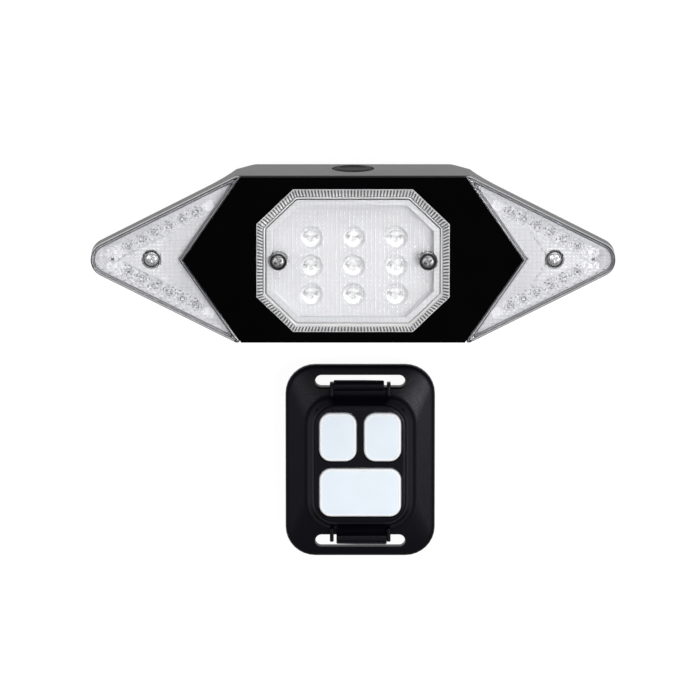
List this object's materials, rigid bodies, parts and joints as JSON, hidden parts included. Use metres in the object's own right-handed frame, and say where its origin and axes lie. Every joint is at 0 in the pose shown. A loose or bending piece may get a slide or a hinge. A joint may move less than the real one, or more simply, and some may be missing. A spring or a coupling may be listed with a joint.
{
  "type": "bicycle turn signal light",
  "caption": "Wireless bicycle turn signal lamp with arrow lenses, a centre lens and a strap saddle, with a strap-on handlebar remote with push keys.",
  "frame": {"origin": "middle of the footprint of the lamp and the remote, on the table they lie on", "axes": "+X along the lamp to the right arrow, +Y to the lamp's top edge, +Z out of the lamp's face"},
  "size_m": [0.15, 0.1162, 0.0397],
  "materials": {
    "housing_grey": "fine moulded grain, satin",
    "bezel_black": "smooth moulded black",
    "gasket_pale": "pale silicone",
    "gasket_rubber": "matt rubber",
    "clear_lens": "clear moulded prisms",
    "reflector_white": "bright white moulding",
    "led_board_white": "white solder mask",
    "led_clear": "clear epoxy",
    "screw_steel": "plain steel",
    "board_green": "green solder mask",
    "chip_black": "matt epoxy",
    "battery_foil": "foil pouch",
    "battery_foam": "soft foam",
    "lead_sheath": "soft sheath",
    "button_rubber": "matt silicone",
    "plunger_ivory": "plain moulding",
    "socket_steel": "formed shell",
    "saddle_black": "fine moulded grain",
    "pad_rubber": "matt ribbed rubber",
    "remote_black": "satin moulded grain",
    "key_white": "pale silicone",
    "cell_steel": "bright nickel",
    "contact_brass": "sprung strip"
  },
  "bodies": {
    "lamp_body": {"rear_housing": "housing_grey", "front_bezel": "bezel_black", "housing_gasket": "gasket_pale", "center_lens_gasket": "gasket_pale", "center_lens": "clear_lens", "left_arrow_lens": "clear_lens", "right_arrow_lens": "clear_lens", "center_reflector": "reflector_white", "left_reflector": "reflector_white", "right_reflector": "reflector_white", "center_led_board": "led_board_white", "left_led_board": "led_board_white", "right_led_board": "led_board_white", "center_leds": "led_clear", "left_leds": "led_clear", "right_leds": "led_clear", "center_lens_screws": "screw_steel", "left_lens_screw": "screw_steel", "right_lens_screw": "screw_steel", "main_board_screws": "screw_steel", "housing_screws": "screw_steel", "saddle_screws": "screw_steel", "main_board": "board_green", "main_board_chips": "chip_black", "power_switch": "chip_black", "battery": "battery_foil", "battery_pad": "battery_foam", "battery_leads": "lead_sheath", "center_board_leads": "lead_sheath", "left_arm_lead": "lead_sheath", "right_arm_lead": "lead_sheath", "charging_socket": "socket_steel", "mount_saddle": "saddle_black", "saddle_pad": "pad_rubber"},
    "remote_body": {"remote_top_cover": "remote_black", "remote_rear_cover": "remote_black", "remote_seal": "gasket_rubber", "remote_board": "board_green", "remote_chip": "chip_black", "left_switch": "chip_black", "right_switch": "chip_black", "lower_switch": "chip_black", "coin_cell": "cell_steel", "cell_contacts": "contact_brass", "remote_screws": "screw_steel", "handlebar_pad": "pad_rubber"},
    "power_button_body": {"power_button": "button_rubber", "power_plunger": "plunger_ivory"},
    "port_plug_body": {"port_plug": "button_rubber"},
    "left_key_body": {"left_key": "key_white", "left_plunger": "plunger_ivory"},
    "right_key_body": {"right_key": "key_white", "right_plunger": "plunger_ivory"},
    "lower_key_body": {"lower_key": "key_white", "lower_plunger": "plunger_ivory"}
  },
  "joints": [
    {"name": "power_button_press", "type": "slide", "parent": "lamp_body", "child": "power_button_body", "axis": [0, -1, 0], "range_m": [0, 0.0008], "stiffness_N_per_m": 2500},
    {"name": "port_plug_pull", "type": "slide", "parent": "lamp_body", "child": "port_plug_body", "axis": [0, -1, 0], "range_m": [0, 0.0045]},
    {"name": "remote_move", "type": "slide", "parent": "lamp_body", "child": "remote_body", "axis": [0, -1, 0], "range_m": [0, 0.06]},
    {"name": "left_key_press", "type": "slide", "parent": "remote_body", "child": "left_key_body", "axis": [0, 0, -1], "range_m": [0, 0.0005], "stiffness_N_per_m": 3000},
    {"name": "right_key_press", "type": "slide", "parent": "remote_body", "child": "right_key_body", "axis": [0, 0, -1], "range_m": [0, 0.0005], "stiffness_N_per_m": 3000},
    {"name": "lower_key_press", "type": "slide", "parent": "remote_body", "child": "lower_key_body", "axis": [0, 0, -1], "range_m": [0, 0.0005], "stiffness_N_per_m": 3000}
  ]
}
